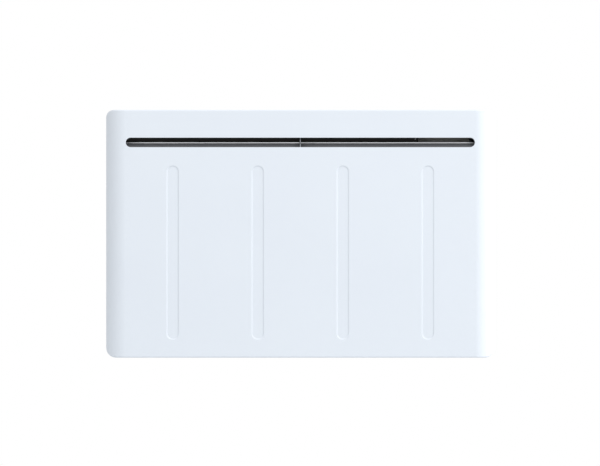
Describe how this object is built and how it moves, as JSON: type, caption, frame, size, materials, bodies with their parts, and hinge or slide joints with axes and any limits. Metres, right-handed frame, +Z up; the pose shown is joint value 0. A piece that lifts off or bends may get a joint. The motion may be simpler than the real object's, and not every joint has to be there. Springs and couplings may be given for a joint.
{
  "type": "wall battery unit",
  "caption": "Wide wall-hung home battery: smooth white clip-on cover with a long vent slot and upright grooves, over battery modules on a steel frame.",
  "frame": {"origin": "centre of the four outer wall bolts, on the wall's face, level with the middle of the cover", "axes": "+X right as seen from the front, +Y back into the wall, +Z up"},
  "size_m": [1.07, 0.319, 0.682],
  "materials": {
    "cover_paint": "fine powder coat, cool white",
    "tab_paint": "powder coat over weld",
    "frame_steel": "galvanised",
    "zinc_fasteners": "bright zinc plate",
    "seal_rubber": "matt",
    "end_plate_aluminium": "milled",
    "isolator_plastic": "moulded",
    "lever_plastic": "moulded, satin",
    "gland_nylon": "moulded nylon",
    "cable_jacket": "extruded jacket",
    "tee_rubber": "overmoulded",
    "wiring_box_plastic": "moulded",
    "terminal_plastic": "moulded",
    "earth_brass": "machined",
    "circuit_board": "solder mask",
    "cast_zinc": "die cast",
    "panel_plastic": "moulded, matched to the cover",
    "switch_plastic": "moulded",
    "button_aluminium": "turned",
    "clip_nylon": "natural nylon",
    "sill_paint": "dark grey powder coat",
    "trim_aluminium": "satin",
    "baffle_paint": "matt black",
    "web_aluminium": "satin",
    "lens_plastic": "clear moulded, unlit",
    "case_casting": "die cast, grey painted",
    "lid_casting": "die cast, grey painted",
    "cell_wrap": "shrink film",
    "busbar_copper": "stamped copper",
    "inverter_casting": "potted, black painted"
  },
  "bodies": {
    "frame": {"upper_rail": "frame_steel", "lower_rail": "frame_steel", "uprights": "frame_steel", "left_side_bracket": "frame_steel", "right_side_bracket": "frame_steel", "service_plate": "frame_steel", "frame_bolts": "zinc_fasteners", "ball_studs": "zinc_fasteners", "lid_screws": "zinc_fasteners", "wiring_box_screws": "zinc_fasteners", "hub_locknut": "zinc_fasteners", "lid_gaskets": "seal_rubber", "wiring_box_seal": "seal_rubber", "cell_end_plates": "end_plate_aluminium", "isolator_bodies": "isolator_plastic", "cable_glands": "gland_nylon", "trunk_cable": "cable_jacket", "cable_tees": "tee_rubber", "cable_clips": "gland_nylon", "wiring_box": "wiring_box_plastic", "wiring_box_lid": "wiring_box_plastic", "terminal_block": "terminal_plastic", "earth_bar": "earth_brass", "comms_board": "circuit_board", "conduit_hub": "cast_zinc", "side_panel": "panel_plastic", "button_switch": "switch_plastic", "left_battery_case": "case_casting", "left_battery_lid": "lid_casting", "left_battery_cells": "cell_wrap", "left_battery_busbars": "busbar_copper", "left_battery_control_board": "circuit_board", "left_battery_inverters": "inverter_casting", "middle_battery_case": "case_casting", "middle_battery_lid": "lid_casting", "middle_battery_cells": "cell_wrap", "middle_battery_busbars": "busbar_copper", "middle_battery_control_board": "circuit_board", "middle_battery_inverters": "inverter_casting", "right_battery_case": "case_casting", "right_battery_lid": "lid_casting", "right_battery_cells": "cell_wrap", "right_battery_busbars": "busbar_copper", "right_battery_control_board": "circuit_board", "right_battery_inverters": "inverter_casting"},
    "cover": {"front_cover": "cover_paint", "cover_tabs": "tab_paint", "stud_clips": "clip_nylon", "left_vent_sill": "sill_paint", "right_vent_sill": "sill_paint", "sill_trim": "trim_aluminium", "left_vent_baffle": "baffle_paint", "right_vent_baffle": "baffle_paint", "centre_web": "web_aluminium", "light_pipe": "lens_plastic"},
    "left_lever": {"left_battery_isolator_lever": "lever_plastic"},
    "middle_lever": {"middle_battery_isolator_lever": "lever_plastic"},
    "right_lever": {"right_battery_isolator_lever": "lever_plastic"},
    "button": {"power_button": "button_aluminium"}
  },
  "joints": [
    {"name": "cover_slide", "type": "slide", "parent": "frame", "child": "cover", "axis": [0, -1, 0], "range_m": [0, 0.33]},
    {"name": "left_lever_turn", "type": "hinge", "parent": "frame", "child": "left_lever", "pos_m": [-0.239, -0.26, 0.135], "axis": [0, -1, 0], "range_deg": [0, 90]},
    {"name": "middle_lever_turn", "type": "hinge", "parent": "frame", "child": "middle_lever", "pos_m": [0.095, -0.26, 0.135], "axis": [0, -1, 0], "range_deg": [0, 90]},
    {"name": "right_lever_turn", "type": "hinge", "parent": "frame", "child": "right_lever", "pos_m": [0.429, -0.26, 0.135], "axis": [0, -1, 0], "range_deg": [0, 90]},
    {"name": "button_press", "type": "slide", "parent": "frame", "child": "button", "axis": [-1, 0, 0], "range_m": [0, 0.003], "stiffness_N_per_m": 600}
  ]
}
